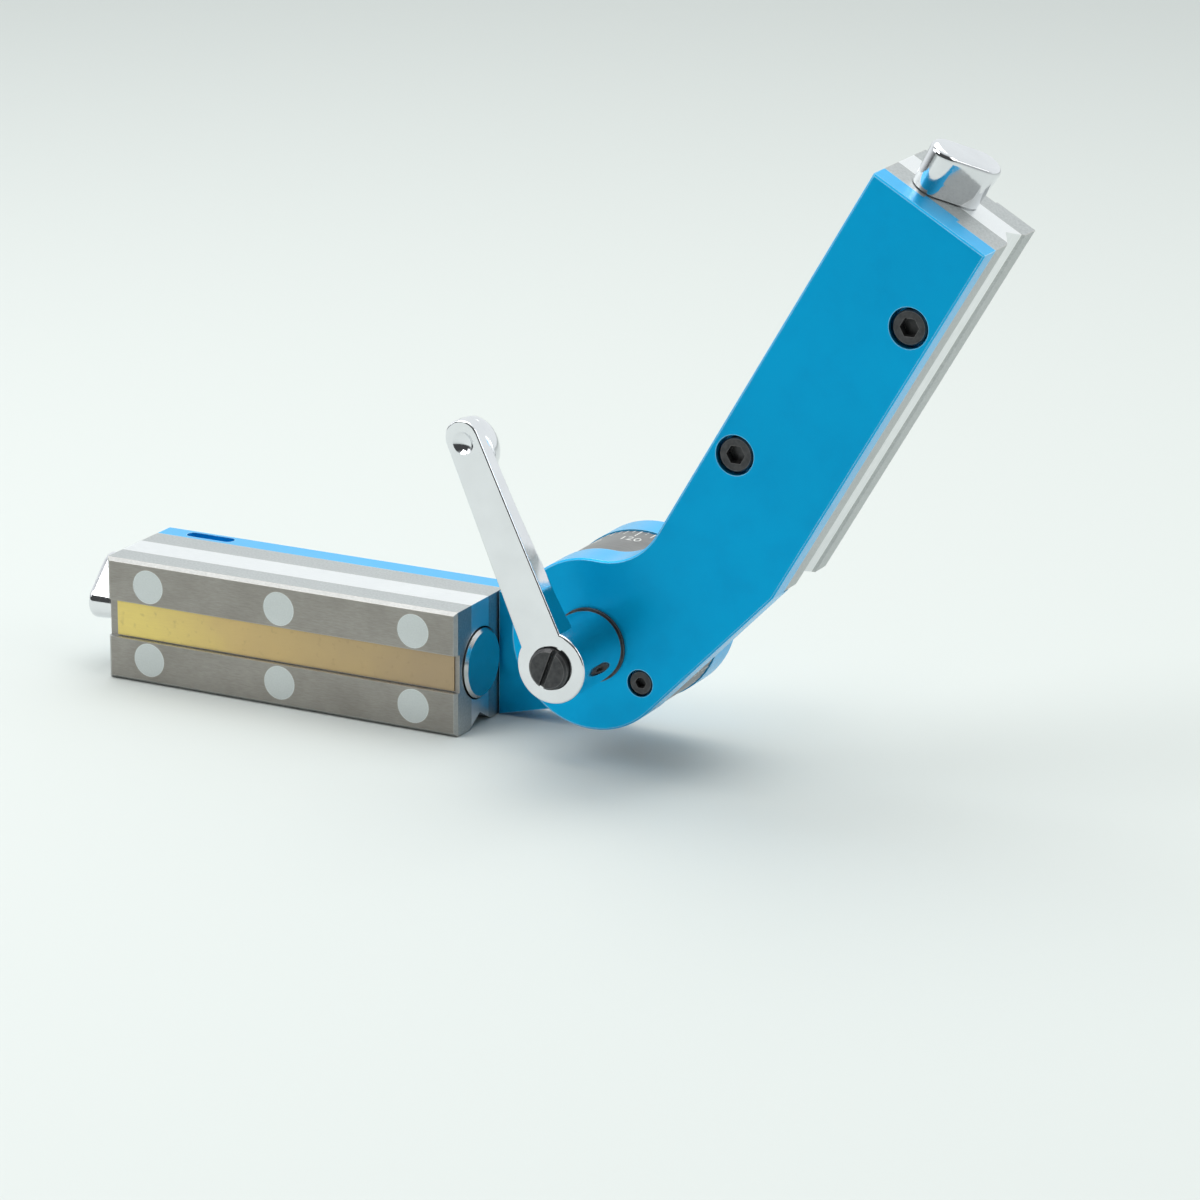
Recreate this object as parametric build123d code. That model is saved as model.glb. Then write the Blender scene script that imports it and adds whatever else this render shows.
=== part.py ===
from build123d import *
import os
from math import cos, sin, radians, sqrt, atan2, acos, degrees, pi

os.makedirs("parts", exist_ok=True)

# ---------------------------------------------------------------------------
# Adjustable angle magnet: two identical switchable magnet arms on one pivot.
# Each arm is described once, in its own frame:
#   x  along the arm, 0 at the knob end, PIV_X at the pivot axis
#   y  across the arm, 0..BLOCK_W the magnet block, then the blue plate
#   z  up from the working face, 0..BLOCK_H
# The lower arm keeps that frame.  The upper arm is the same arm turned half a
# turn about the vertical and then swung up about the pivot axis.
# ---------------------------------------------------------------------------

# magnet block
BLOCK_L = 120.0        # length of the block
BLOCK_H = 38.0         # working face to back face
POLE_T = 9.25          # steel pole plate
SPACER_T = 10.5        # aluminium bars between the poles
BLOCK_W = 2 * POLE_T + SPACER_T
POLE_CHAMFER = 1.0
CHANNEL_Z0, CHANNEL_Z1 = 13.2, 24.8   # full-length channel in each pole face
CHANNEL_D = 2.0
V_HALF_W = 6.5         # V groove of the working face
V_DEPTH = 3.75

# rotor and its bore
ROT_Y = BLOCK_W / 2
ROT_Z = 19.0
ROTOR_R = 8.0
BORE_R = 8.1
CBORE_R = 11.0
CBORE_D = 5.0
DISC_R = 10.5
DISC_PROUD = 1.3
DISC_CLEAR = 0.08       # running gap behind the turning disc
SHAFT_R = 4.5          # knob shaft, through the closed end of the block
SHAFT_BORE_R = 4.58

# thumb bar
KNOB_BAR_L = 20.4      # thumb lever at its root, set off-centre from the rotor axis
KNOB_BAR_W = 10.0
KNOB_BAR_H = 13.0
KNOB_FLARE = 3.5       # degrees; the lever widens toward its outer face
KNOB_EDGE_R = 1.8
KNOB_OFF = 5.3
KNOB_TILT = 45.0

# rivets
RIVET_X = (14.5, 60.0, 105.5)
RIVET_Z = (7.5, 30.5)
RIVET_HEAD_R = 5.2
RIVET_HEAD_T = 2.4
RIVET_PIN_R = 2.5

# arm plate
PLATE_T = 7.5
HUB_T = 11.0
PIV_X = 167.5
PIV_Z = 38.0
HUB_R = 25.4
NECK_R = 20.0
NECK_CORNER_X = 120.5
PLATE_CHAMFER = 0.5
TONGUE_CLEAR = 0.1
SLOT_X0, SLOT_X1 = 8.5, 24.9
SLOT_W = 4.2
SLOT_D = 3.5

# M6 screws from the plate into the pole
M6_POS = ((30.0, 7.5), (92.0, 30.5))
M6_HEAD_R, M6_HEAD_T = 5.0, 4.6
M6_CB_R, M6_CB_D = 5.8, 5.2
M6_SHANK_R, M6_LEN = 3.0, 8.0

# pivot stack
DRUM_R = 25.0
BUSH_R = 8.0
STUD_R = 5.0
ANCHOR_R = 11.0
ANCHOR_T = 5.5
M4_R_POS = 18.3
M4_HEAD_R, M4_HEAD_T = 3.5, 3.8
M4_CB_R, M4_CB_D = 4.0, 4.3
M4_SHANK_R, M4_LEN = 2.0, 18.0

# clamping lever
HANDLE_H = 24.5        # front face above the outer face of the plate
HANDLE_HUB_R = 10.5
HANDLE_ARM = 68.8      # pivot axis to centre of the tip
HANDLE_DIR = 114.3     # direction of the arm, degrees from +X toward +Z
HANDLE_W0, HANDLE_W1 = 6.8, 5.3       # half widths at hub and tip
WASHER_T = 0.7
WASHER_R = 11.0
HANDLE_LIFT = 3.5
# thickness of the lever's arm along its length: (distance from the pivot, thickness)
HANDLE_PROFILE = ((0.0, 10.4), (7.0, 9.2), (14.0, 8.0), (26.0, 7.2), (36.0, 6.5),
                  (46.0, 5.9), (56.0, 5.7), (80.0, 5.7))
HANDLE_BACK_R = 1.6    # rounding of the arm's rear edges
HANDLE_FRONT_R = 0.6
PAD_A, PAD_B, PAD_C = 8.5, 5.9, 7.0   # finger pad behind the tip: along, across, deep
PAD_BACK = 3.5         # pad centre, from the tip's centre toward the pivot
PAD_DEEP = 6.5         # pad centre, behind the front face

# rest angle of the upper arm above the lower arm's line
ARM_DEG = 60.0

# origin of the whole tool: on the working face of the lower arm, at the middle
# of the land in front of the V groove
OX, OY = 60.0, 4.0

DRUM_Y0 = BLOCK_W - (BLOCK_W + PLATE_T - HUB_T)   # inner face of the upper hub
DRUM_Y1 = BLOCK_W + PLATE_T - HUB_T               # inner face of the lower hub
PLATE_OUT = BLOCK_W + PLATE_T                     # outer face of the lower plate
FRONT = -PLATE_T                                  # outer face of the upper plate


def box(x0, x1, y0, y1, z0, z1):
    return Pos((x0 + x1) / 2, (y0 + y1) / 2, (z0 + z1) / 2) * Box(x1 - x0, y1 - y0, z1 - z0)


def cyl_x(x0, x1, y, z, r):
    return Pos((x0 + x1) / 2, y, z) * Rot(0, 90, 0) * Cylinder(r, x1 - x0)


def cyl_y(y0, y1, x, z, r):
    return Pos(x, (y0 + y1) / 2, z) * Rot(90, 0, 0) * Cylinder(r, y1 - y0)


def prism_y(points_xz, y0, y1):
    """Closed polygon in the XZ plane, extruded from y0 to y1."""
    face = make_face(Polyline([(x, y0, z) for x, z in points_xz], close=True))
    return extrude(face, amount=y1 - y0, dir=(0, 1, 0))


def one(shape):
    """The single solid of a boolean result."""
    s = shape.solids()
    return s[0] if len(s) == 1 else shape


def group(solids):
    out = []
    for s in solids:
        out += list(s.solids())
    return out


def v_groove(x0, x1):
    pts = [(x0, ROT_Y - V_HALF_W - 1.0, -1.0 * V_DEPTH / V_HALF_W),
           (x0, ROT_Y, V_DEPTH),
           (x0, ROT_Y + V_HALF_W + 1.0, -1.0 * V_DEPTH / V_HALF_W)]
    return extrude(make_face(Polyline(pts, close=True)), amount=x1 - x0, dir=(1, 0, 0))


def rotor_cut():
    c = cyl_x(CBORE_D, BLOCK_L + 1, ROT_Y, ROT_Z, BORE_R)
    c += cyl_x(-1, CBORE_D + 1, ROT_Y, ROT_Z, SHAFT_BORE_R)
    c += cyl_x(BLOCK_L - CBORE_D, BLOCK_L + 1, ROT_Y, ROT_Z, CBORE_R)
    return c


def rivet_cuts():
    c = None
    for x in RIVET_X:
        for z in RIVET_Z:
            r = cyl_y(-1, BLOCK_W + 1, x, z, RIVET_PIN_R + 0.03)
            r += cyl_y(-1, RIVET_HEAD_T + 0.03, x, z, RIVET_HEAD_R + 0.03)
            r += cyl_y(BLOCK_W - RIVET_HEAD_T - 0.03, BLOCK_W + 1, x, z, RIVET_HEAD_R + 0.03)
            c = r if c is None else c + r
    return c


# ---- magnet block ---------------------------------------------------------
CUT_ROTOR = rotor_cut()
CUT_RIVET = rivet_cuts()
CUT_V = v_groove(-1, BLOCK_L + 1)


def pole_outer():
    """Pole plate on the open side of the block."""
    p = box(0, BLOCK_L, 0, POLE_T, 0, BLOCK_H)
    p = chamfer(p.faces().sort_by(Axis.Y)[0].edges(), POLE_CHAMFER)
    p -= box(-1, BLOCK_L + 1, -1, CHANNEL_D, CHANNEL_Z0, CHANNEL_Z1)
    return one(p - CUT_ROTOR - CUT_RIVET - CUT_V)


def pole_inner():
    """Pole plate against the arm plate, with the tapped holes."""
    p = box(0, BLOCK_L, BLOCK_W - POLE_T, BLOCK_W, 0, BLOCK_H)
    p -= box(-1, BLOCK_L + 1, BLOCK_W - CHANNEL_D, BLOCK_W + 1, CHANNEL_Z0, CHANNEL_Z1)
    for x, z in M6_POS:
        p -= cyl_y(BLOCK_W - M6_LEN, BLOCK_W + 1, x, z, M6_SHANK_R + 0.03)
    return one(p - CUT_ROTOR - CUT_RIVET - CUT_V)


def spacer_back():
    p = box(0, BLOCK_L, POLE_T + 0.01, BLOCK_W - POLE_T - 0.01, ROT_Z + 0.01, BLOCK_H)
    return one(p - CUT_ROTOR - CUT_RIVET)


def spacer_face():
    p = box(0, BLOCK_L, POLE_T + 0.01, BLOCK_W - POLE_T - 0.01, 0, ROT_Z - 0.01)
    return one(p - CUT_ROTOR - CUT_RIVET - CUT_V)


def rivets():
    out = []
    for x in RIVET_X:
        for z in RIVET_Z:
            r = cyl_y(0.05, BLOCK_W - 0.05, x, z, RIVET_PIN_R)
            r += cyl_y(0.05, RIVET_HEAD_T, x, z, RIVET_HEAD_R)
            r += cyl_y(BLOCK_W - RIVET_HEAD_T, BLOCK_W - 0.05, x, z, RIVET_HEAD_R)
            out.append(r)
    return group(out)


def label():
    return one(box(2.6, BLOCK_L - 1.6, CHANNEL_D - 0.4, CHANNEL_D, CHANNEL_Z0 + 0.4, CHANNEL_Z1 - 0.4))


# ---- arm plate ------------------------------------------------------------
def plate_outline(y):
    """Face of the plate outline at height y, normal along +Y or -Y."""
    dc = HUB_R + NECK_R
    ac = sqrt(dc * dc - NECK_R * NECK_R)
    nx, nz = PIV_X - ac, PIV_Z + NECK_R
    t1 = (nx, PIV_Z)
    t2 = (PIV_X - ac * HUB_R / dc, PIV_Z + NECK_R * HUB_R / dc)
    ang = atan2(nz - t2[1], nx - t2[0])
    mid_n = (atan2(t2[1] - nz, t2[0] - nx) + radians(-90)) / 2
    m1 = (nx + NECK_R * cos(mid_n), nz + NECK_R * sin(mid_n))
    cx, cz = NECK_CORNER_X - PIV_X, -PIV_Z
    d = sqrt(cx * cx + cz * cz)
    ta = atan2(cz, cx) + acos(HUB_R / d)
    t3 = (PIV_X + HUB_R * cos(ta), PIV_Z + HUB_R * sin(ta))
    a2 = atan2(t2[1] - PIV_Z, t2[0] - PIV_X)
    am = (a2 + ta) / 2
    m2 = (PIV_X + HUB_R * cos(am), PIV_Z + HUB_R * sin(am))

    def P(q):
        return (q[0], y, q[1])

    e = [Line(P((0, 0)), P((0, BLOCK_H))),
         Line(P((0, BLOCK_H)), P(t1)),
         ThreePointArc(P(t1), P(m1), P(t2)),
         ThreePointArc(P(t2), P(m2), P(t3)),
         Line(P(t3), P((NECK_CORNER_X, 0))),
         Line(P((NECK_CORNER_X, 0)), P((0, 0)))]
    return make_face(Wire(e))


def plate():
    body = extrude(plate_outline(BLOCK_W), amount=PLATE_T, dir=(0, 1, 0))
    out_edges = body.faces().sort_by(Axis.Y)[-1].edges()
    body = chamfer(out_edges, PLATE_CHAMFER)
    hub = extrude(plate_outline(DRUM_Y1), amount=HUB_T - 1.0, dir=(0, 1, 0))
    hub &= box(NECK_CORNER_X, PIV_X + 60, DRUM_Y1 - 1, BLOCK_W + PLATE_T, -5, 90)
    body += hub
    body += box(0, BLOCK_L, BLOCK_W - CHANNEL_D + TONGUE_CLEAR, BLOCK_W + 0.5,
                CHANNEL_Z0 + TONGUE_CLEAR, CHANNEL_Z1 - TONGUE_CLEAR)
    for x, z in M6_POS:
        body -= cyl_y(BLOCK_W - 1, PLATE_OUT + 1, x, z, M6_SHANK_R + 0.3)
        body -= cyl_y(PLATE_OUT - M6_CB_D, PLATE_OUT + 1, x, z, M6_CB_R)
    # oblong pocket in the back edge, near the knob end
    ym = BLOCK_W + PLATE_T / 2
    r = SLOT_W / 2
    s = box(SLOT_X0 + r, SLOT_X1 - r, ym - r, ym + r, BLOCK_H - SLOT_D, BLOCK_H + 1)
    for x in (SLOT_X0 + r, SLOT_X1 - r):
        s += Pos(x, ym, BLOCK_H - SLOT_D / 2 + 0.5) * Cylinder(r, SLOT_D + 1)
    body -= s
    return body


def m6_screws():
    out = []
    for x, z in M6_POS:
        y1 = PLATE_OUT - M6_CB_D + M6_HEAD_T
        h = cyl_y(PLATE_OUT - M6_CB_D, y1, x, z, M6_HEAD_R)
        h = chamfer(h.faces().sort_by(Axis.Y)[-1].edges(), 0.4)
        hexa = Pos(x, y1 + 0.01, z) * Rot(90, 0, 0) * extrude(RegularPolygon(2.5, 6, major_radius=False), amount=3.0)
        h -= hexa
        h += cyl_y(BLOCK_W - M6_LEN + 0.5, PLATE_OUT - M6_CB_D, x, z, M6_SHANK_R)
        out.append(h)
    return group(out)


# ---- rotor, knob and end disc ---------------------------------------------
TANG = 6.0


def tang(x0, x1, clear=0.0):
    t = TANG + 2 * clear
    return Pos((x0 + x1) / 2, ROT_Y, ROT_Z) * Rot(KNOB_TILT, 0, 0) * Box(x1 - x0, t, t)


def rotor():
    r = cyl_x(CBORE_D + 0.1, BLOCK_L - CBORE_D - 0.1, ROT_Y, ROT_Z, ROTOR_R)
    r -= tang(-1, 14.1, 0.02)
    r -= tang(BLOCK_L - 14.1, BLOCK_L + 1, 0.02)
    return one(r)


def knob():
    f = cyl_x(-0.5, CBORE_D + 0.05, ROT_Y, ROT_Z, SHAFT_R)
    slot = SlotOverall(KNOB_BAR_L, KNOB_BAR_W)
    bar = extrude(slot, amount=KNOB_BAR_H, taper=-KNOB_FLARE)
    bar = fillet(bar.faces().sort_by(Axis.Z)[-1].edges(), KNOB_EDGE_R)
    # the lever stands just clear of the end face; its long axis is tilted in YZ
    bar = Pos(-0.3, ROT_Y, ROT_Z) * Rot(KNOB_TILT, 0, 0) * Pos(0, KNOB_OFF, 0) * Rot(0, -90, 0) * Rot(0, 0, 90) * bar
    k = bar + f
    k += tang(CBORE_D, 14.0)
    return one(k)


def end_disc():
    d = cyl_x(BLOCK_L - CBORE_D + DISC_CLEAR, BLOCK_L + DISC_PROUD, ROT_Y, ROT_Z, DISC_R)
    d = chamfer(d.faces().sort_by(Axis.X)[-1].edges(), 0.8)
    d += tang(BLOCK_L - 14.0, BLOCK_L - CBORE_D + 0.5)
    return one(d)


# ---- placing the two arms -------------------------------------------------
def place(loc, s):
    """Move one shape, or a list of like solids that share a node."""
    if isinstance(s, list):
        return Compound([loc * k for k in s])
    return loc * s


def lower(s):
    return place(Pos(-OX, -OY, 0), s)


def upper(s):
    half = Pos(PIV_X, BLOCK_W / 2, 0) * Rot(0, 0, 180) * Pos(-PIV_X, -BLOCK_W / 2, 0)
    swing = Pos(PIV_X, 0, PIV_Z) * Rot(0, -ARM_DEG, 0) * Pos(-PIV_X, 0, -PIV_Z)
    return place(Pos(-OX, -OY, 0) * swing * half, s)


# hub features of the two plates, in the arm frame --------------------------
def lower_plate():
    p = plate()
    p -= cyl_y(DRUM_Y1 - 1, PLATE_OUT - ANCHOR_T, PIV_X, PIV_Z, BUSH_R + 0.06)
    p -= cyl_y(PLATE_OUT - ANCHOR_T, PLATE_OUT + 1, PIV_X, PIV_Z, ANCHOR_R + 0.03)
    return one(p)


def upper_plate():
    p = plate()
    p -= cyl_y(DRUM_Y1 - 1, PLATE_OUT + 1, PIV_X, PIV_Z, BUSH_R + 0.03)
    for s in (-1, 1):
        z = PIV_Z - s * M4_R_POS
        p -= cyl_y(DRUM_Y1 - 1, PLATE_OUT + 1, PIV_X, z, M4_SHANK_R + 0.2)
        p -= cyl_y(PLATE_OUT - M4_CB_D, PLATE_OUT + 1, PIV_X, z, M4_CB_R)
    return one(p)


def m4_screws():
    out = []
    for s in (-1, 1):
        z = PIV_Z - s * M4_R_POS
        y1 = PLATE_OUT - M4_CB_D + M4_HEAD_T
        h = cyl_y(PLATE_OUT - M4_CB_D, y1, PIV_X, z, M4_HEAD_R)
        h = chamfer(h.faces().sort_by(Axis.Y)[-1].edges(), 0.3)
        h -= Pos(PIV_X, y1 + 0.01, z) * Rot(90, 0, 0) * extrude(RegularPolygon(1.5, 6, major_radius=False), amount=2.2)
        h += cyl_y(PLATE_OUT - M4_CB_D - M4_LEN, PLATE_OUT - M4_CB_D, PIV_X, z, M4_SHANK_R)
        out.append(h)
    return group(out)


def scale_drum():
    # in the arm frame of the upper arm: bolted to the inner face of its hub
    y0, y1 = BLOCK_W - DRUM_Y1 + 0.05, DRUM_Y1
    d = cyl_y(y0, y1, PIV_X, PIV_Z, DRUM_R)
    d = chamfer(d.edges().filter_by(GeomType.CIRCLE), 0.3)
    d -= cyl_y(y0 - 1, y1 + 1, PIV_X, PIV_Z, BUSH_R + 0.03)
    for s in (-1, 1):
        d -= cyl_y(PLATE_OUT - M4_CB_D - M4_LEN - 1.0, y1 + 1, PIV_X, PIV_Z - s * M4_R_POS, M4_SHANK_R + 0.03)
    return one(d)


# ---- pivot pieces, in the frame of the lower arm --------------------------
def bushing():
    b = cyl_y(FRONT + 0.1, PLATE_OUT - ANCHOR_T - 0.1, PIV_X, PIV_Z, BUSH_R)
    b -= cyl_y(FRONT - 1, PLATE_OUT, PIV_X, PIV_Z, STUD_R + 0.06)
    return one(b)


def anchor_nut():
    n = cyl_y(PLATE_OUT - ANCHOR_T, PLATE_OUT - 0.1, PIV_X, PIV_Z, ANCHOR_R)
    n = chamfer(n.faces().sort_by(Axis.Y)[-1].edges(), 0.4)
    n -= cyl_y(PLATE_OUT - ANCHOR_T - 1, PLATE_OUT + 1, PIV_X, PIV_Z, STUD_R + 0.06)
    # two spanner holes
    for a in (0, 180):
        n -= cyl_y(PLATE_OUT - 3.0, PLATE_OUT + 1, PIV_X + 8.0 * cos(radians(a)), PIV_Z + 8.0 * sin(radians(a)), 1.3)
    return one(n)


def washer():
    w = cyl_y(FRONT - WASHER_T, FRONT, PIV_X, PIV_Z, WASHER_R)
    w -= cyl_y(FRONT - WASHER_T - 1, FRONT + 1, PIV_X, PIV_Z, STUD_R + 0.1)
    return one(w)


HY0 = FRONT - WASHER_T          # seat of the lever on the washer
HYF = FRONT - HANDLE_H          # front face of the lever
INS_TOP = HY0 - 10.6            # front end of the insert
WEB_BACK = INS_TOP - 0.2        # web of the lever, rear face
WEB_FRONT = WEB_BACK - 2.2
SCREW_PROUD = 2.2
SCREW_HEAD_T = 4.2
SCREW_HEAD_R = 6.0


def poly_y(n, r, y0, y1):
    s = extrude(RegularPolygon(r, n), amount=y1 - y0)
    return Pos(PIV_X, y1, PIV_Z) * Rot(90, 0, 0) * s


def insert():
    s = poly_y(12, 7.4, INS_TOP, HY0 - 0.05)
    s -= cyl_y(HY0 - 6.1, HY0 + 1, PIV_X, PIV_Z, STUD_R + 0.02)
    s -= cyl_y(INS_TOP - 1, HY0 - 5.0, PIV_X, PIV_Z, 3.02)
    return one(s)


def stud():
    s = cyl_y(HY0 - 6.0, PLATE_OUT - 0.6, PIV_X, PIV_Z, STUD_R)
    s = chamfer(s.faces().sort_by(Axis.Y)[-1].edges(), 0.8)
    return one(s)


def lever_screw():
    y0 = HYF - SCREW_PROUD
    s = cyl_y(y0, y0 + SCREW_HEAD_T, PIV_X, PIV_Z, SCREW_HEAD_R)
    s = chamfer(s.faces().sort_by(Axis.Y)[0].edges(), 0.7)
    s += cyl_y(y0 + SCREW_HEAD_T, HY0 - 6.3, PIV_X, PIV_Z, 3.0)
    slot_dir = 70.0
    s -= Pos(PIV_X, y0 + 0.8, PIV_Z) * Rot(0, -slot_dir, 0) * Box(14, 2.0, 1.5)
    return one(s)


def lever_spring():
    y1 = HYF - SCREW_PROUD + SCREW_HEAD_T + 0.05
    h = (WEB_FRONT - HANDLE_LIFT) - y1 - 0.1
    turns = 3.5
    wire = 0.45
    path = Helix(pitch=(h - 2 * wire) / turns, height=h - 2 * wire, radius=4.2)
    prof = Plane(origin=path @ 0, z_dir=path % 0) * Circle(wire)
    s = sweep(prof, path=path, is_frenet=True)
    return one(Pos(PIV_X, y1 + wire, PIV_Z) * Rot(-90, 0, 0) * s)


def lever_handle():
    d = radians(HANDLE_DIR)
    hub = cyl_y(HYF, HY0 - 0.1, PIV_X, PIV_Z, HANDLE_HUB_R)
    L = HANDLE_ARM
    # plan of the arm: tangent bar from the hub to a round tip, in a frame with
    # s along the arm and w across it
    def q(s, w, y):
        return (PIV_X + s * cos(d) - w * sin(d), y, PIV_Z + s * sin(d) + w * cos(d))
    y0 = HYF
    pts = [q(0, -HANDLE_W0, y0), q(L, -HANDLE_W1, y0), q(L, HANDLE_W1, y0), q(0, HANDLE_W0, y0)]
    plan = extrude(make_face(Polyline(pts, close=True)), amount=16, dir=(0, 1, 0))
    tx, _, tz = q(L, 0, 0)
    plan += cyl_y(y0, y0 + 16, tx, tz, HANDLE_W1)
    # side profile: thin along the arm, deeper toward the hub
    w = 30

    def p(st, t):
        return (PIV_X + st * cos(d) + w * sin(d), y0 + t, PIV_Z + st * sin(d) - w * cos(d))
    back = [p(st, t) for st, t in HANDLE_PROFILE]
    ends = [Line(back[-1], p(HANDLE_PROFILE[-1][0], 0)), Line(p(HANDLE_PROFILE[-1][0], 0), p(0, 0)), Line(p(0, 0), back[0])]
    side = extrude(make_face(Wire([Spline(*back)] + ends)), amount=2 * w, dir=(-sin(d), 0, cos(d)))
    arm = one(plan & side)
    rear = [e for e in arm.edges() if e.center().Y > y0 + 4.5 and abs((e % 0.5).Y) < 0.6
            and (e.center() - Vector(PIV_X, e.center().Y, PIV_Z)).length > 12]
    arm = fillet(rear, HANDLE_BACK_R)
    # finger pad behind the tip, cut off flat at the front
    pad = scale(Sphere(1.0), by=(PAD_A, PAD_B, PAD_C))
    px, _, pz = q(L - PAD_BACK, 0, 0)
    pad = Plane(origin=(px, y0 + PAD_DEEP, pz), x_dir=(cos(d), 0, sin(d)), z_dir=(0, 1, 0)).location * pad
    pad &= box(tx - 30, tx + 30, y0 + 0.02, y0 + 30, tz - 30, tz + 30)
    body = one(hub + arm + pad)
    front_edges = body.faces().sort_by(Axis.Y)[0].outer_wire().edges()
    body = fillet(front_edges, HANDLE_FRONT_R)
    # thumb dimple in the tip
    dx, _, dz = q(L - 1.3, 0, 0)
    body -= Pos(dx, y0 - 3.8, dz) * Sphere(5.0)
    # splined bore for the insert, web hole and pocket for spring and screw
    body -= poly_y(12, 7.5, WEB_BACK, HY0 + 1)
    body -= cyl_y(WEB_FRONT - 1, WEB_BACK + 1, PIV_X, PIV_Z, 3.4)
    body -= cyl_y(HYF - 1, WEB_FRONT, PIV_X, PIV_Z, SCREW_HEAD_R + 0.35)
    return one(body)


parts = {
    # lower arm (the body the tool stands on)
    "lower_plate": lower(lower_plate()),
    "lower_pole_front": lower(pole_outer()),
    "lower_pole_back": lower(pole_inner()),
    "lower_spacer_top": lower(spacer_back()),
    "lower_spacer_grooved": lower(spacer_face()),
    "lower_rivets": lower(rivets()),
    "lower_m6_screws": lower(m6_screws()),
    "lower_label": lower(label()),
    "pivot_anchor_nut": lower(anchor_nut()),
    # lower switch rotor
    "lower_knob": lower(knob()),
    "lower_rotor_magnet": lower(rotor()),
    "lower_end_disc": lower(end_disc()),
    # upper arm
    "upper_plate": upper(upper_plate()),
    "upper_pole_front": upper(pole_inner()),
    "upper_pole_back": upper(pole_outer()),
    "upper_spacer_top": upper(spacer_back()),
    "upper_spacer_grooved": upper(spacer_face()),
    "upper_rivets": upper(rivets()),
    "upper_m6_screws": upper(m6_screws()),
    "upper_label": upper(label()),
    "scale_drum": upper(scale_drum()),
    "scale_drum_screws": upper(m4_screws()),
    "pivot_bushing": lower(bushing()),
    "lever_washer": lower(washer()),
    # upper switch rotor
    "upper_knob": upper(knob()),
    "upper_rotor_magnet": upper(rotor()),
    "upper_end_disc": upper(end_disc()),
    # clamp spindle
    "clamp_stud": lower(stud()),
    "lever_insert": lower(insert()),
    "lever_screw": lower(lever_screw()),
    "lever_spring": lower(lever_spring()),
    # clamping lever
    "lever_handle": lower(lever_handle()),
}

for name, shape in parts.items():
    export_step(shape, "parts/%s.step" % name)
    bb = shape.bounding_box()
    print("%-22s solids %d  x %.1f..%.1f  y %.1f..%.1f  z %.1f..%.1f" % (
        name, len(shape.solids()), bb.min.X, bb.max.X, bb.min.Y, bb.max.Y, bb.min.Z, bb.max.Z))
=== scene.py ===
import math
import bmesh
import bpy
from mathutils import Matrix, Vector


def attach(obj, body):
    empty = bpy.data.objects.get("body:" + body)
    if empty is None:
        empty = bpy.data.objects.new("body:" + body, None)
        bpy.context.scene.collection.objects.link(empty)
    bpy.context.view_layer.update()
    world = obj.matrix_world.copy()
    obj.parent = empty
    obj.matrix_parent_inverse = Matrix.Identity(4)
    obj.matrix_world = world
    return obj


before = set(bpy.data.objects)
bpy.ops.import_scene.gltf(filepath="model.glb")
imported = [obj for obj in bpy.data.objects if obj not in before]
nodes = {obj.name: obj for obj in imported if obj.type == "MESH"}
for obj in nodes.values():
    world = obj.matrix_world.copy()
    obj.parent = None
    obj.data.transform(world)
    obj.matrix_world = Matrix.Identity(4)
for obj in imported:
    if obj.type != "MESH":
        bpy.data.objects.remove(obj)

scene = bpy.context.scene
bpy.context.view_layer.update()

# ---------------------------------------------------------------------------
# Camera
# ---------------------------------------------------------------------------
YAW, PITCH, ROLL = 4.68725429e-01, 3.01295070e-01, -8.33294003e-03
TX, TY, TZ = -88.4556905, 8.77712252, 1400.65027
FOCAL_PX = 4681.07419
TARGET = Vector((0.0, 11.0, 20.0))

fwd = Vector((-math.sin(YAW) * math.cos(PITCH), math.cos(YAW) * math.cos(PITCH), -math.sin(PITCH)))
right0 = Vector((math.cos(YAW), math.sin(YAW), 0.0))
down0 = fwd.cross(right0)
right = math.cos(ROLL) * right0 + math.sin(ROLL) * down0
down = -math.sin(ROLL) * right0 + math.cos(ROLL) * down0
place = (TARGET - (TX * right + TY * down + TZ * fwd)) / 1000.0

cam_data = bpy.data.cameras.new("camera")
cam = bpy.data.objects.new("camera", cam_data)
scene.collection.objects.link(cam)
cam.matrix_world = Matrix((
    (right.x, -down.x, -fwd.x, place.x),
    (right.y, -down.y, -fwd.y, place.y),
    (right.z, -down.z, -fwd.z, place.z),
    (0.0, 0.0, 0.0, 1.0)))
cam_data.sensor_width = 36.0
cam_data.lens = FOCAL_PX / 1200.0 * 36.0
cam_data.clip_start = 0.01
cam_data.clip_end = 50.0
cam_data.dof.use_dof = False
scene.camera = cam

# ---------------------------------------------------------------------------
# Node helpers
# ---------------------------------------------------------------------------


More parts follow.
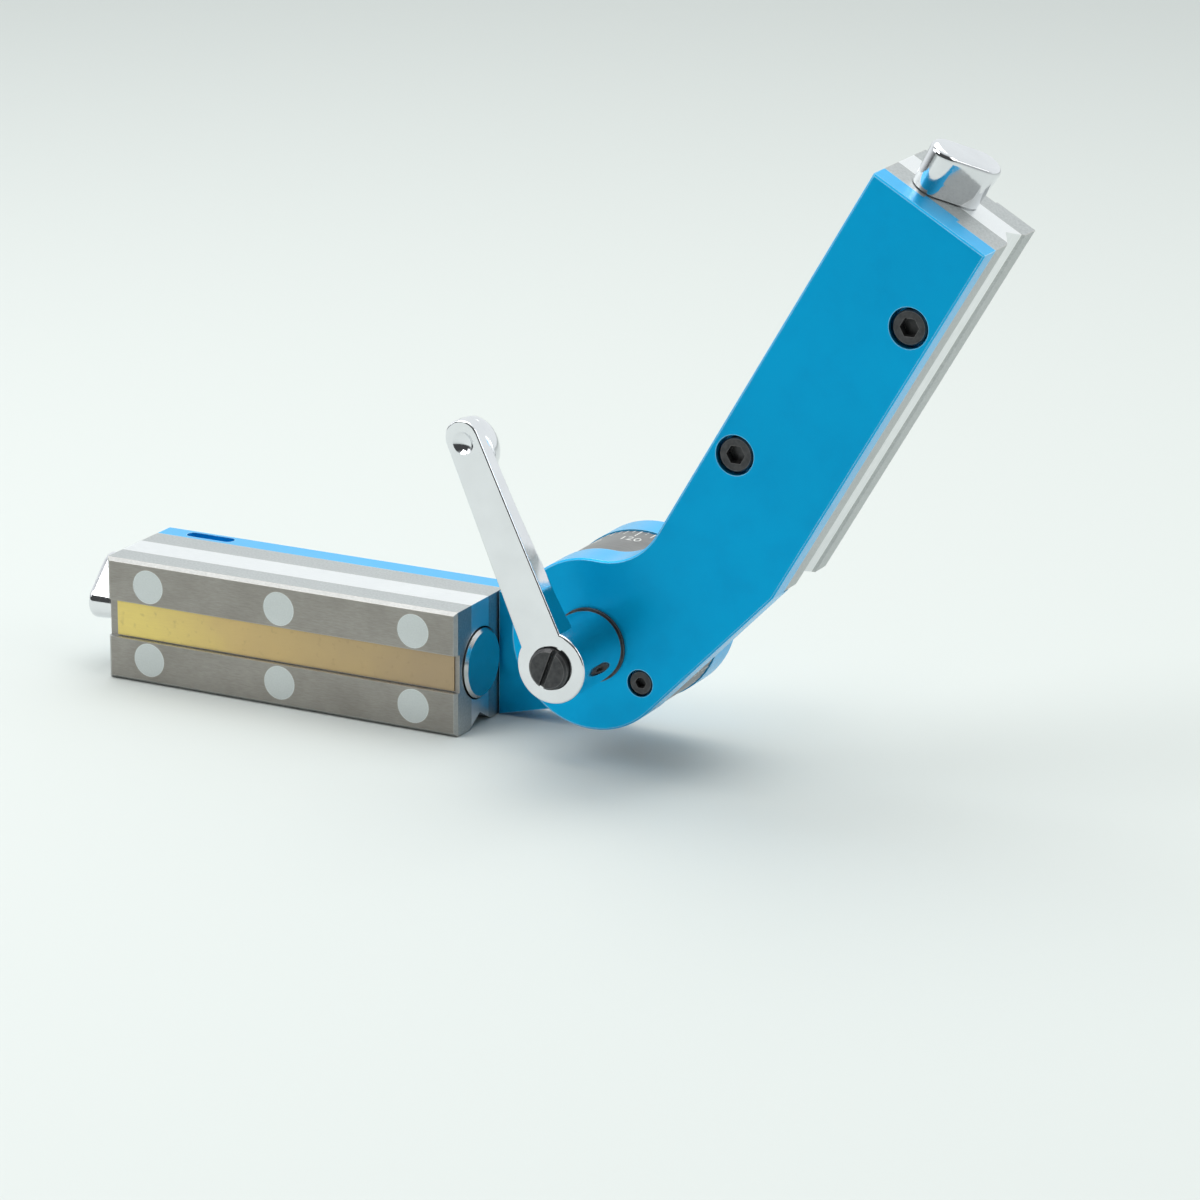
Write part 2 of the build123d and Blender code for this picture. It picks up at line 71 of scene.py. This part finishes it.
class Tree:
    """A small wrapper that adds nodes to one material."""

    def __init__(self, name):
        self.mat = bpy.data.materials.new(name)
        self.mat.use_nodes = True
        self.nt = self.mat.node_tree
        self.nt.nodes.clear()
        self.out = self.nt.nodes.new("ShaderNodeOutputMaterial")
        self.bsdf = self.nt.nodes.new("ShaderNodeBsdfPrincipled")
        self.nt.links.new(self.bsdf.outputs[0], self.out.inputs[0])
        self.coord = self.nt.nodes.new("ShaderNodeTexCoord").outputs["Object"]

    def node(self, kind, **props):
        n = self.nt.nodes.new(kind)
        for k, v in props.items():
            setattr(n, k, v)
        return n

    def link(self, a, b):
        self.nt.links.new(a, b)

    def mapped(self, scale=(1, 1, 1), rot=(0, 0, 0)):
        m = self.node("ShaderNodeMapping")
        m.inputs["Scale"].default_value = scale
        m.inputs["Rotation"].default_value = rot
        self.link(self.coord, m.inputs["Vector"])
        return m.outputs[0]

    def turned(self, rot, scale):
        """Coordinates turned first and then stretched, so that grain runs along a turned part."""
        a = self.node("ShaderNodeMapping")
        a.inputs["Rotation"].default_value = rot
        self.link(self.coord, a.inputs["Vector"])
        b = self.node("ShaderNodeMapping")
        b.inputs["Scale"].default_value = scale
        self.link(a.outputs[0], b.inputs["Vector"])
        return b.outputs[0]

    def noise(self, vector, scale, detail=3.0, rough=0.5, distortion=0.0):
        n = self.node("ShaderNodeTexNoise")
        n.inputs["Scale"].default_value = scale
        n.inputs["Detail"].default_value = detail
        n.inputs["Roughness"].default_value = rough
        n.inputs["Distortion"].default_value = distortion
        self.link(vector, n.inputs["Vector"])
        return n.outputs[0]

    def ramp(self, value, stops):
        r = self.node("ShaderNodeValToRGB")
        e = r.color_ramp.elements
        while len(e) < len(stops):
            e.new(0.5)
        for el, (pos, col) in zip(e, stops):
            el.position = pos
            el.color = col if len(col) == 4 else (*col, 1.0)
        self.link(value, r.inputs[0])
        return r.outputs[0]

    def range(self, value, a, b, lo, hi):
        r = self.node("ShaderNodeMapRange")
        r.inputs["From Min"].default_value = a
        r.inputs["From Max"].default_value = b
        r.inputs["To Min"].default_value = lo
        r.inputs["To Max"].default_value = hi
        self.link(value, r.inputs["Value"])
        return r.outputs[0]

    def math(self, op, a, b=None):
        m = self.node("ShaderNodeMath", operation=op)
        for i, v in enumerate((a, b)):
            if v is None:
                continue
            if isinstance(v, (int, float)):
                m.inputs[i].default_value = v
            else:
                self.link(v, m.inputs[i])
        return m.outputs[0]

    def mix(self, fac, a, b, blend="MIX"):
        m = self.node("ShaderNodeMix", data_type="RGBA", blend_type=blend)
        if isinstance(fac, (int, float)):
            m.inputs[0].default_value = fac
        else:
            self.link(fac, m.inputs[0])
        for i, v in ((6, a), (7, b)):
            if isinstance(v, tuple):
                m.inputs[i].default_value = v if len(v) == 4 else (*v, 1.0)
            else:
                self.link(v, m.inputs[i])
        return m.outputs[2]

    def edges(self, radius=0.0006, lo=0.25, hi=0.9):
        """1 on sharp edges, 0 on flats."""
        bev = self.node("ShaderNodeBevel", samples=4)
        bev.inputs["Radius"].default_value = radius
        geo = self.node("ShaderNodeNewGeometry")
        dot = self.node("ShaderNodeVectorMath", operation="DOT_PRODUCT")
        self.link(bev.outputs[0], dot.inputs[0])
        self.link(geo.outputs["Normal"], dot.inputs[1])
        return self.range(dot.outputs["Value"], 0.999, 0.93, 0.0, 1.0)

    def bump(self, height, distance=0.0001, strength=0.3, normal=None):
        b = self.node("ShaderNodeBump")
        b.inputs["Strength"].default_value = strength
        b.inputs["Distance"].default_value = distance
        self.link(height, b.inputs["Height"])
        if normal is not None:
            self.link(normal, b.inputs["Normal"])
        self.link(b.outputs[0], self.bsdf.inputs["Normal"])
        return b.outputs[0]

    def set(self, name, value):
        s = self.bsdf.inputs[name]
        if isinstance(value, (int, float)):
            s.default_value = value
        elif isinstance(value, tuple):
            s.default_value = value if len(value) == 4 else (*value, 1.0)
        else:
            self.link(value, s)
        return self


def blue_anodised():
    t = Tree("blue_anodised")
    broad = t.noise(t.mapped(), 14.0, 3.0, 0.55)
    fine = t.noise(t.mapped(), 2600.0, 2.0, 0.6)
    cloud = t.noise(t.mapped(), 90.0, 4.0, 0.6)
    base = t.ramp(broad, [(0.3, (0.0, 0.405, 0.75)), (0.7, (0.0, 0.445, 0.815))])
    base = t.mix(t.range(fine, 0.35, 0.7, 0.0, 0.12), base, (0.0, 0.50, 0.88))
    base = t.mix(t.range(cloud, 0.5, 0.8, 0.0, 0.10), base, (0.0, 0.26, 0.52))
    # lighter blue along sharp edges: partly edge wear, partly a painted highlight on the chamfers
    edge = t.edges(0.00045)
    wear_and_edge_highlight = t.math("MULTIPLY", edge, t.range(cloud, 0.35, 0.65, 0.45, 1.0))
    base = t.mix(wear_and_edge_highlight, base, (0.42, 0.76, 0.95))
    t.set("Base Color", base)
    t.set("Metallic", 1.0)
    gloss = t.node("ShaderNodeLayerWeight")
    gloss.inputs["Blend"].default_value = 0.5
    t.set("Coat Weight", t.range(gloss.outputs["Facing"], 0.25, 0.70, 0.12, 0.85))
    t.set("Coat IOR", 1.5)
    t.set("Coat Roughness", 0.26)
    t.set("Roughness", t.range(cloud, 0.3, 0.7, 0.50, 0.58))
    t.bump(fine, 0.00002, 0.35)
    return t.mat


def brushed(name, dark, light, rough=(0.28, 0.42), grain=(1, 1, 1), rot=(0, 0, 0), streak=900.0, metallic=1.0, depth=0.000012, stain=0.12, strength=0.5, painted_light_axis=None):
    t = Tree(name)
    v = t.turned(rot, grain)
    lines = t.noise(v, streak, 4.0, 0.65)
    pits = t.noise(t.mapped(), 1500.0, 2.0, 0.5)
    cloud = t.noise(t.mapped(), 60.0, 4.0, 0.6, 0.4)
    base = t.ramp(lines, [(0.28, dark), (0.72, light)])
    base = t.mix(t.range(cloud, 0.42, 0.75, 0.0, stain), base, (dark[0] * 0.62, dark[1] * 0.60, dark[2] * 0.56))
    if painted_light_axis is not None:
        # faces turned away from this axis (tops and ends) get a lighter base: painted light standing in for the bright
        # reflections those faces catch
        face = t.node("ShaderNodeVectorMath", operation="DOT_PRODUCT")
        face.inputs[1].default_value = painted_light_axis
        t.link(t.coord.node.outputs["Normal"], face.inputs[0])
        bright = t.range(t.math("ABSOLUTE", face.outputs["Value"]), 0.85, 0.60, 0.0, 1.0)
        base = t.mix(bright, base, t.ramp(pits, [(0.3, (0.42, 0.44, 0.44)), (0.7, (0.53, 0.55, 0.55))]))
    edge = t.edges(0.0005)
    base = t.mix(t.math("MULTIPLY", edge, 0.55), base, (min(1, light[0] * 1.35), min(1, light[1] * 1.35), min(1, light[2] * 1.35)))
    t.set("Base Color", base)
    t.set("Metallic", metallic)
    t.set("Roughness", t.range(t.math("ADD", t.math("MULTIPLY", cloud, 0.6), t.math("MULTIPLY", lines, 0.4)), 0.3, 0.7, rough[0], rough[1]))
    height = t.math("ADD", t.math("MULTIPLY", lines, 0.8), t.math("MULTIPLY", pits, 0.3))
    t.bump(height, depth, strength)
    return t.mat


def chrome(name, tint=(0.80, 0.81, 0.83), rough=(0.05, 0.16), ripple=0.00004):
    t = Tree(name)
    soft = t.noise(t.mapped(), 120.0, 2.0, 0.5)
    fine = t.noise(t.mapped(), 1800.0, 3.0, 0.6)
    base = t.ramp(soft, [(0.3, tuple(c * 0.94 for c in tint)), (0.7, tint)])
    t.set("Base Color", base)
    t.set("Metallic", 1.0)
    t.set("Roughness", t.range(fine, 0.35, 0.7, rough[0], rough[1]))
    t.bump(t.math("ADD", soft, t.math("MULTIPLY", fine, 0.08)), ripple, 0.6)
    return t.mat


def black_oxide(name="black_oxide"):
    t = Tree(name)
    n = t.noise(t.mapped(), 700.0, 4.0, 0.6)
    cloud = t.noise(t.mapped(), 180.0, 2.0, 0.5)
    base = t.ramp(n, [(0.3, (0.040, 0.041, 0.044)), (0.75, (0.085, 0.084, 0.086))])
    edge = t.edges(0.0003)
    base = t.mix(t.math("MULTIPLY", edge, 0.6), base, (0.26, 0.255, 0.25))
    t.set("Base Color", base)
    t.set("Metallic", 0.6)
    t.set("Roughness", t.range(cloud, 0.3, 0.7, 0.30, 0.46))
    t.bump(n, 0.00002, 0.5)
    return t.mat


def label_brass(name, x0, x1):
    t = Tree(name)
    lines = t.noise(t.turned((0, 0, 0), (1, 1, 40)), 260.0, 3.0, 0.6)
    cloud = t.noise(t.mapped(), 45.0, 3.0, 0.6)
    spots = t.noise(t.mapped(), 420.0, 2.0, 0.5)
    sep = t.node("ShaderNodeSeparateXYZ")
    t.link(t.coord, sep.inputs[0])
    along = t.range(sep.outputs[0], x0, x1, 0.0, 1.0)
    along = t.math("ADD", along, t.range(cloud, 0.3, 0.7, -0.08, 0.08))
    base = t.ramp(along, [(0.10, (0.82, 0.65, 0.20)), (0.36, (0.64, 0.46, 0.20)), (0.95, (0.42, 0.31, 0.19))])
    base = t.mix(t.range(lines, 0.3, 0.7, 0.0, 0.16), base, (0.50, 0.36, 0.17))
    base = t.mix(t.range(spots, 0.60, 0.78, 0.0, 0.35), base, (0.30, 0.21, 0.11))
    # darker where nearby surfaces occlude it: painted shade in the corners of the label channel
    ao = t.node("ShaderNodeAmbientOcclusion", samples=6)
    ao.inputs["Distance"].default_value = 0.0016
    base = t.mix(t.range(ao.outputs["AO"], 0.45, 0.85, 0.55, 0.0), base, (0.16, 0.11, 0.06))
    t.set("Base Color", base)
    t.set("Metallic", 0.80)
    t.set("Coat Weight", 0.35)
    t.set("Coat Roughness", 0.12)
    t.set("Roughness", t.range(lines, 0.3, 0.7, 0.28, 0.38))
    t.bump(lines, 0.00001, 0.25)
    return t.mat


UP_ROT = (0.0, math.radians(60.0), 0.0)
M = {
    "blue": blue_anodised(),
    # the last argument paints the pole tops and ends lighter than the broad sides: painted light
    "pole": brushed("pole_steel", (0.325, 0.305, 0.28), (0.42, 0.40, 0.37), (0.40, 0.52), (1, 7, 7), streak=420.0, stain=0.30, painted_light_axis=(0.0, 1.0, 0.0)),
    "pole_up": brushed("pole_steel_up", (0.325, 0.305, 0.28), (0.42, 0.40, 0.37), (0.40, 0.52), (1, 7, 7), UP_ROT, streak=420.0, stain=0.30, painted_light_axis=(0.0, 1.0, 0.0)),
    "spacer": brushed("spacer_aluminium", (0.80, 0.815, 0.82), (0.89, 0.905, 0.91), (0.26, 0.40), (1, 10, 10), streak=300.0, stain=0.05),
    "spacer_up": brushed("spacer_aluminium_up", (0.80, 0.815, 0.82), (0.89, 0.905, 0.91), (0.26, 0.40), (1, 10, 10), UP_ROT, streak=300.0, stain=0.05),
    "rivet": brushed("rivet_steel", (0.63, 0.665, 0.665), (0.70, 0.735, 0.735), (0.40, 0.50), (4, 4, 4), streak=500.0, stain=0.05, strength=0.3),
    "black": black_oxide(),
    "label": label_brass("label_brass", -0.0565, 0.0565),
    "label_up": label_brass("label_brass_up", 0.2106, 0.1448),
    "chrome": chrome("chrome_zinc"),
    "magnet": brushed("magnet_nickel", (0.52, 0.50, 0.46), (0.66, 0.64, 0.60), (0.16, 0.28), (1, 1, 1), streak=400.0, stain=0.04),
    "disc": brushed("disc_steel", (0.58, 0.58, 0.57), (0.70, 0.70, 0.69), (0.14, 0.24), (1, 1, 1), streak=300.0, stain=0.06),
    "drum": brushed("drum_aluminium", (0.20, 0.20, 0.20), (0.30, 0.30, 0.295), (0.34, 0.46), (1, 14, 1), streak=260.0, stain=0.20),
    "plain": brushed("plain_steel", (0.36, 0.355, 0.345), (0.50, 0.495, 0.48), (0.28, 0.40), (1, 8, 1), streak=300.0),
    "bronze": brushed("bronze_bush", (0.42, 0.25, 0.10), (0.56, 0.36, 0.16), (0.30, 0.42), (1, 10, 1), streak=300.0),
    "spring": brushed("spring_steel", (0.30, 0.30, 0.31), (0.48, 0.48, 0.49), (0.22, 0.34), (2, 2, 2), streak=400.0),
}

ASSIGN = {
    "lower_plate": "blue", "upper_plate": "blue",
    "lower_pole_front": "pole", "lower_pole_back": "pole",
    "upper_pole_front": "pole_up", "upper_pole_back": "pole_up",
    "lower_spacer_top": "spacer", "lower_spacer_grooved": "spacer",
    "upper_spacer_top": "spacer_up", "upper_spacer_grooved": "spacer_up",
    "lower_rivets": "rivet", "upper_rivets": "rivet",
    "lower_m6_screws": "black", "upper_m6_screws": "black", "scale_drum_screws": "black",
    "lever_screw": "black", "lever_washer": "black",
    "lower_label": "label", "upper_label": "label_up",
    "lower_knob": "chrome", "upper_knob": "chrome", "lever_handle": "chrome",
    "lower_rotor_magnet": "magnet", "upper_rotor_magnet": "magnet",
    "lower_end_disc": "disc", "upper_end_disc": "disc",
    "scale_drum": "drum",
    "clamp_stud": "plain", "pivot_anchor_nut": "plain", "lever_insert": "plain",
    "pivot_bushing": "bronze",
    "lever_spring": "spring",
}

for name, o in nodes.items():
    key = ASSIGN[name]
    o.data.materials.clear()
    o.data.materials.append(M[key])

# ---------------------------------------------------------------------------
# Angle scale on the drum: paint-filled ticks and numbers, riding on the upper arm
# ---------------------------------------------------------------------------
PIVOT = (0.1075, 0.038)
DRUM_R = 0.025
DRUM_EDGE = 0.0211       # far end of the drum, where the scale starts


def on_drum(phi, y, r):
    return (PIVOT[0] + r * math.cos(phi), y, PIVOT[1] + r * math.sin(phi))


sv, sf = [], []
for k in range(72):
    deg = 5 * k
    length = 0.0050 if deg % 30 == 0 else (0.0036 if deg % 10 == 0 else 0.0024)
    half = 0.00021 if deg % 30 == 0 else 0.00015
    phi = math.radians(deg)
    base = len(sv)
    for r in (DRUM_R - 0.00006, DRUM_R + 0.00004):
        for a, y in ((-1, DRUM_EDGE - length), (1, DRUM_EDGE - length), (1, DRUM_EDGE), (-1, DRUM_EDGE)):
            sv.append(on_drum(phi + a * half / DRUM_R, y, r))
    for f in ((0, 1, 2, 3), (4, 7, 6, 5), (0, 4, 5, 1), (1, 5, 6, 2), (2, 6, 7, 3), (3, 7, 4, 0)):
        sf.append(tuple(base + i for i in f))
for deg in range(0, 360, 30):
    reading = deg + 30
    reading = reading if reading <= 180 else 360 - reading
    cu = bpy.data.curves.new("mark", "FONT")
    cu.body = str(reading)
    cu.size = 0.0046
    cu.align_x = "CENTER"
    cu.extrude = 0.00005
    cu.resolution_u = 3
    tmp = bpy.data.objects.new("mark", cu)
    scene.collection.objects.link(tmp)
    bpy.context.view_layer.update()
    me = bpy.data.meshes.new_from_object(tmp.evaluated_get(bpy.context.evaluated_depsgraph_get()))
    base = len(sv)
    for v in me.vertices:
        sv.append(on_drum(math.radians(deg) - v.co.x / DRUM_R, DRUM_EDGE - 0.0094 + v.co.y, DRUM_R - 0.00001 + v.co.z))
    for p in me.polygons:
        sf.append(tuple(base + i for i in p.vertices))
    bpy.data.objects.remove(tmp)
    bpy.data.meshes.remove(me)
marks_mesh = bpy.data.meshes.new("scale_marks")
marks_mesh.from_pydata(sv, [], sf)
bm = bmesh.new()
bm.from_mesh(marks_mesh)
bmesh.ops.remove_doubles(bm, verts=bm.verts, dist=1e-7)
bmesh.ops.recalc_face_normals(bm, faces=bm.faces)
bm.to_mesh(marks_mesh)
bm.free()
paint = Tree("scale_paint")
chips = paint.noise(paint.mapped(), 900.0, 3.0, 0.6)
paint.set("Base Color", paint.ramp(chips, [(0.34, (0.30, 0.30, 0.29)), (0.52, (0.74, 0.74, 0.71))]))
paint.set("Roughness", paint.range(chips, 0.3, 0.7, 0.45, 0.60))
paint.bump(chips, 0.00001, 0.4)
marks_mesh.materials.append(paint.mat)
marks = bpy.data.objects.new("scale_marks", marks_mesh)
scene.collection.objects.link(marks)
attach(marks, "upper_arm")

# ---------------------------------------------------------------------------
# Floor and light
# ---------------------------------------------------------------------------
floor_mat = bpy.data.materials.new("floor")
floor_mat.use_nodes = True
fb = floor_mat.node_tree.nodes["Principled BSDF"]
fb.inputs["Base Color"].default_value = (0.62, 0.65, 0.63, 1)
fb.inputs["Roughness"].default_value = 0.8
fb.inputs["Specular IOR Level"].default_value = 0.15

mesh = bpy.data.meshes.new("floor")
S = 9.0
mesh.from_pydata([(-S, -S, -0.0002), (S, -S, -0.0002), (S, S, -0.0002), (-S, S, -0.0002)], [], [(0, 1, 2, 3)])
mesh.materials.append(floor_mat)
floor = bpy.data.objects.new("floor", mesh)
scene.collection.objects.link(floor)

world = bpy.data.worlds.new("world")
scene.world = world
world.use_nodes = True
wn = world.node_tree
wn.nodes.clear()
w_out = wn.nodes.new("ShaderNodeOutputWorld")
w_coord = wn.nodes.new("ShaderNodeTexCoord")
w_sep = wn.nodes.new("ShaderNodeSeparateXYZ")
wn.links.new(w_coord.outputs["Generated"], w_sep.inputs[0])
# pale wall behind the tool, a dimmer room on the lever side, bright overhead


def w_range(src, f0, f1, t0, t1):
    m = wn.nodes.new("ShaderNodeMapRange")
    m.interpolation_type = "SMOOTHSTEP"
    for k, v in (("From Min", f0), ("From Max", f1), ("To Min", t0), ("To Max", t1)):
        m.inputs[k].default_value = v
    wn.links.new(src, m.inputs["Value"])
    return m.outputs[0]


w_low = w_range(w_sep.outputs[1], -0.55, 0.35, 0.07, 1.0)
w_blend = w_range(w_sep.outputs[2], 0.62, 1.0, 0.0, 1.0)
w_val = wn.nodes.new("ShaderNodeMix")
w_val.data_type = "FLOAT"
wn.links.new(w_blend, w_val.inputs[0])
wn.links.new(w_low, w_val.inputs[2])
w_val.inputs[3].default_value = 1.16
w_mul = w_val
w_bg = wn.nodes.new("ShaderNodeBackground")
w_bg.inputs[0].default_value = (0.93, 0.97, 0.98, 1)
wn.links.new(w_mul.outputs[0], w_bg.inputs[1])
w_seen = wn.nodes.new("ShaderNodeBackground")
w_seen.inputs[0].default_value = (0.82, 0.86, 0.84, 1)
w_seen.inputs[1].default_value = 0.9
w_path = wn.nodes.new("ShaderNodeLightPath")
w_mix = wn.nodes.new("ShaderNodeMixShader")
wn.links.new(w_path.outputs["Is Camera Ray"], w_mix.inputs[0])
wn.links.new(w_bg.outputs[0], w_mix.inputs[1])
wn.links.new(w_seen.outputs[0], w_mix.inputs[2])
wn.links.new(w_mix.outputs[0], w_out.inputs[0])


def area(name, loc, target, size, power, color=(1, 1, 1), size_y=None):
    d = bpy.data.lights.new(name, "AREA")
    d.shape = "RECTANGLE"
    d.size = size
    d.size_y = size_y or size
    d.energy = power
    d.color = color
    o = bpy.data.objects.new(name, d)
    scene.collection.objects.link(o)
    o.location = loc
    o.rotation_euler = (Vector(target) - Vector(loc)).to_track_quat("-Z", "Y").to_euler()
    return o


area("key_top", (-0.15, 0.30, 1.25), (0.0, 0.10, 0.0), 1.3, 8.4, (1.0, 0.995, 0.98), 1.0)
area("key_front", (-0.75, -1.0, 1.25), (0.03, 0.0, 0.06), 1.0, 10.5, (1.0, 1.0, 1.0), 0.8)
area("fill_left", (-1.3, -0.5, 0.7), (0.0, 0.0, 0.08), 0.7, 2.6, (0.96, 0.98, 1.0))
area("fill_right", (1.2, -0.2, 0.8), (0.1, 0.0, 0.08), 0.6, 2.2, (1.0, 0.99, 0.98))

scene.view_settings.view_transform = "Standard"
scene.view_settings.look = "None"
scene.view_settings.exposure = 0.0
